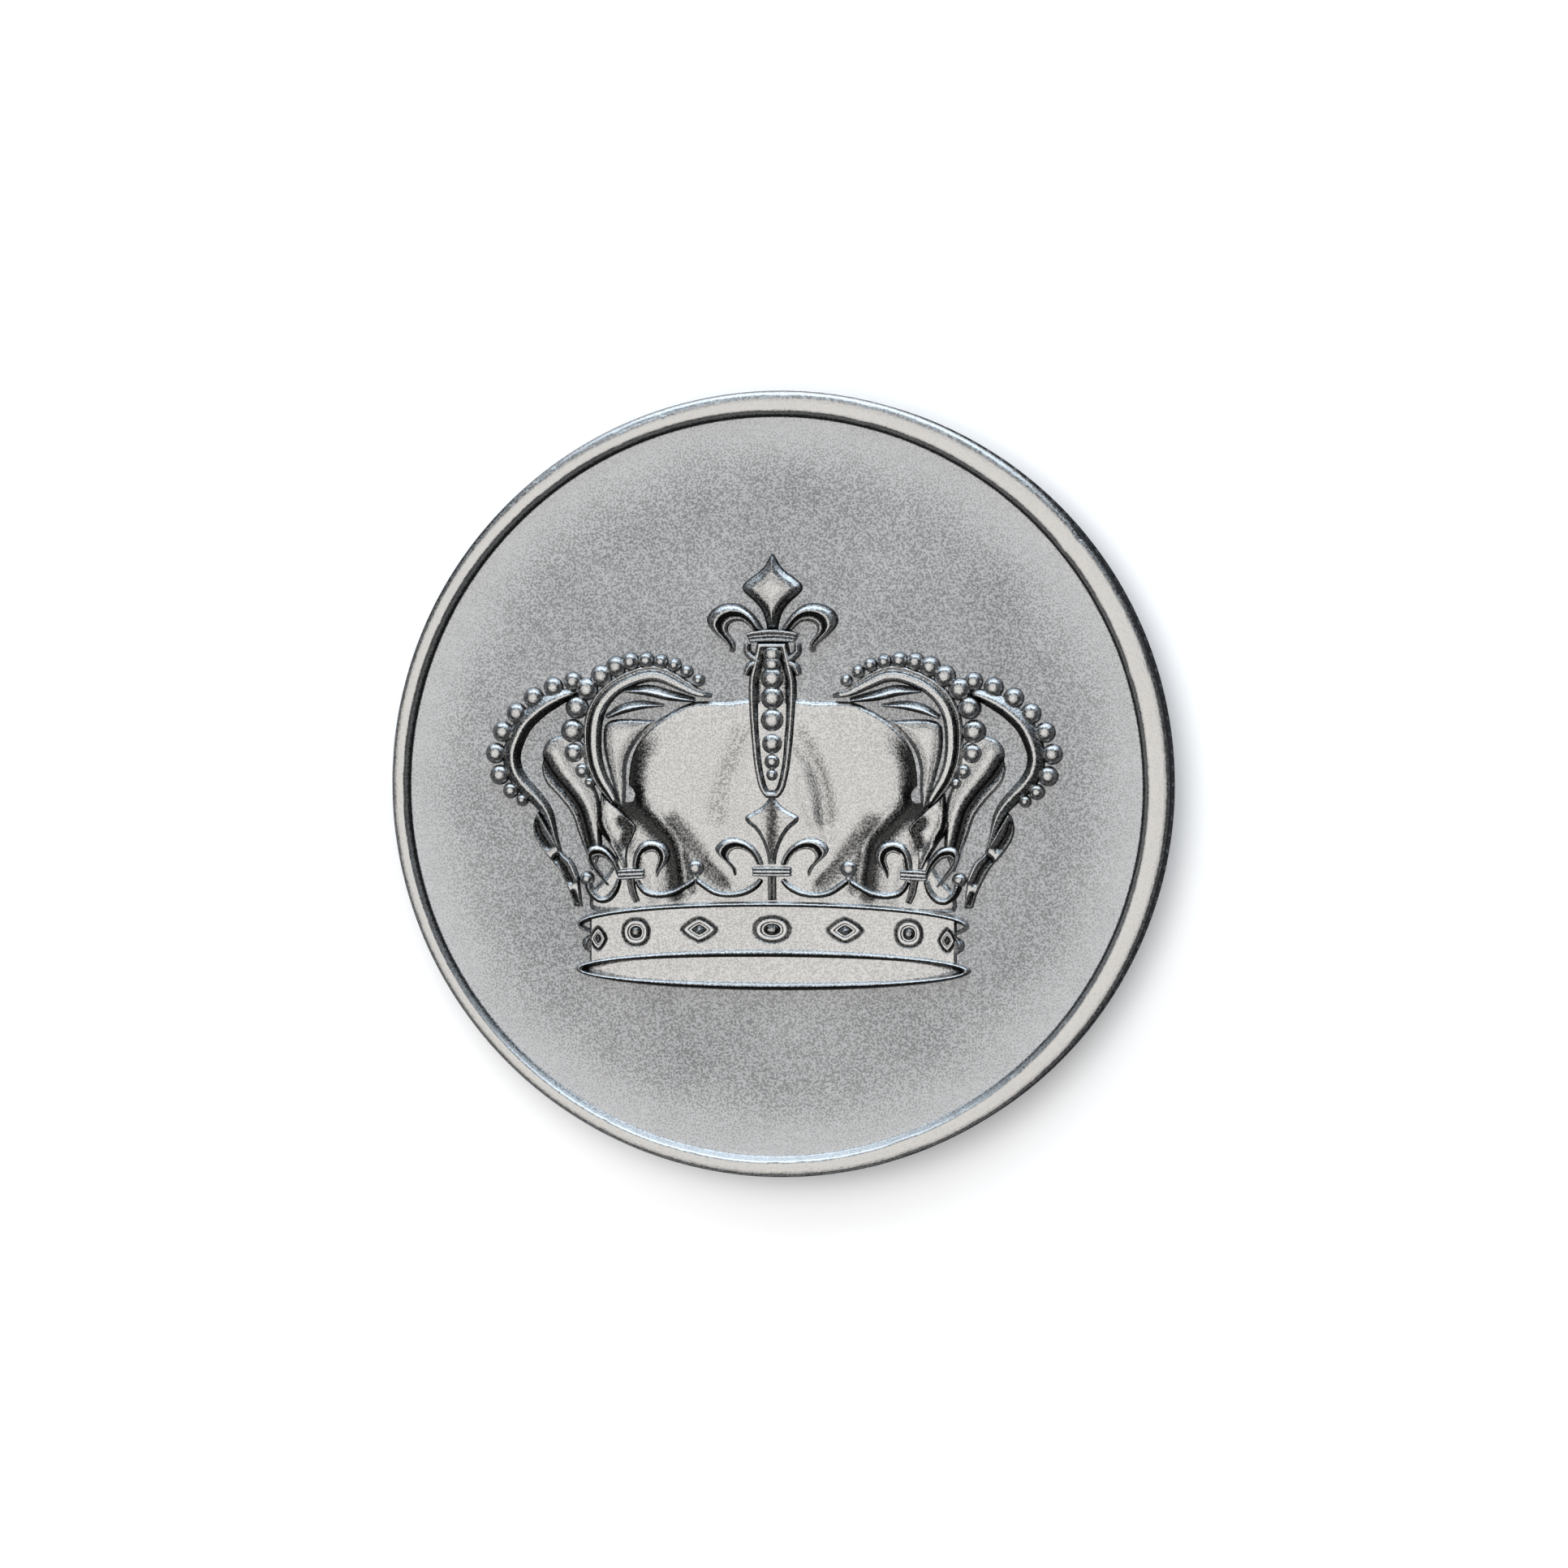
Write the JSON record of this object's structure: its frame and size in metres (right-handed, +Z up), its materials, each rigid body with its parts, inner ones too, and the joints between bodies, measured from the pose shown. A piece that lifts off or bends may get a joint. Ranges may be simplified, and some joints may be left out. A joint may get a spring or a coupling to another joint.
{
  "type": "transit token",
  "caption": "Round silver-coloured struck metal token with a raised rim, a reeded edge and an arched crown in low relief on its obverse.",
  "frame": {"origin": "on the reverse rim's plane, at the middle of the round blank, so the token rests on a surface at z = 0", "axes": "+Z up out of the obverse, square to both faces; +Y towards the crown's finial; +X to the right of someone looking at the obverse with the crown upright"},
  "size_m": [0.025, 0.025, 0.0019],
  "materials": {
    "field_and_rim": "nickel-silver coloured metal, fine sandblasted grain on the fields, satin rim, bright reeded side with small handling dents",
    "relief_matte": "nickel-silver coloured metal, lightly frosted broad surfaces of the relief",
    "relief_bright": "nickel-silver coloured metal, satin crests with dark toning in the steep walls and recesses"
  },
  "bodies": {
    "root": {"arch_centre": "relief_bright", "arch_middle_left": "relief_bright", "arch_middle_right": "relief_bright", "arch_outer_left": "relief_bright", "arch_outer_right": "relief_bright", "base_ring": "relief_bright", "cap": "relief_matte", "cap_lobe_left": "relief_matte", "cap_lobe_right": "relief_matte", "centre_bud": "relief_bright", "centre_collar": "relief_bright", "centre_petal_left": "relief_bright", "centre_petal_right": "relief_bright", "circlet_band": "relief_matte", "crest_pearl_left": "relief_bright", "crest_pearl_right": "relief_bright", "drape_left": "relief_matte", "drape_right": "relief_matte", "edge_stud_left": "relief_bright", "edge_stud_right": "relief_bright", "end_pearl_left": "relief_bright", "end_pearl_right": "relief_bright", "finial_bud": "relief_bright", "finial_collar": "relief_bright", "finial_petal_left": "relief_bright", "finial_petal_right": "relief_bright", "fleur_bud_left": "relief_bright", "fleur_bud_right": "relief_bright", "fleur_collar_left": "relief_bright", "fleur_collar_right": "relief_bright", "fleur_petal_far_left": "relief_bright", "fleur_petal_far_right": "relief_bright", "fleur_petal_near_left": "relief_bright", "fleur_petal_near_right": "relief_bright", "jewel_centre": "relief_bright", "jewel_lozenge_left": "relief_bright", "jewel_lozenge_right": "relief_bright", "jewel_round_left": "relief_bright", "jewel_round_right": "relief_bright", "jewel_small_left": "relief_bright", "jewel_small_right": "relief_bright", "moulding_top": "relief_bright", "ring_floor": "relief_matte", "shoulder_leaf_left": "relief_bright", "shoulder_leaf_right": "relief_bright", "side_leaf_left": "relief_bright", "side_leaf_right": "relief_bright", "slat_lower_left": "relief_bright", "slat_lower_right": "relief_bright", "slat_upper_left": "relief_bright", "slat_upper_right": "relief_bright", "swag_end_left": "relief_bright", "swag_end_right": "relief_bright", "swag_inner_left": "relief_bright", "swag_inner_right": "relief_bright", "swag_outer_left": "relief_bright", "swag_outer_right": "relief_bright", "token_blank": "field_and_rim"}
  },
  "joints": []
}
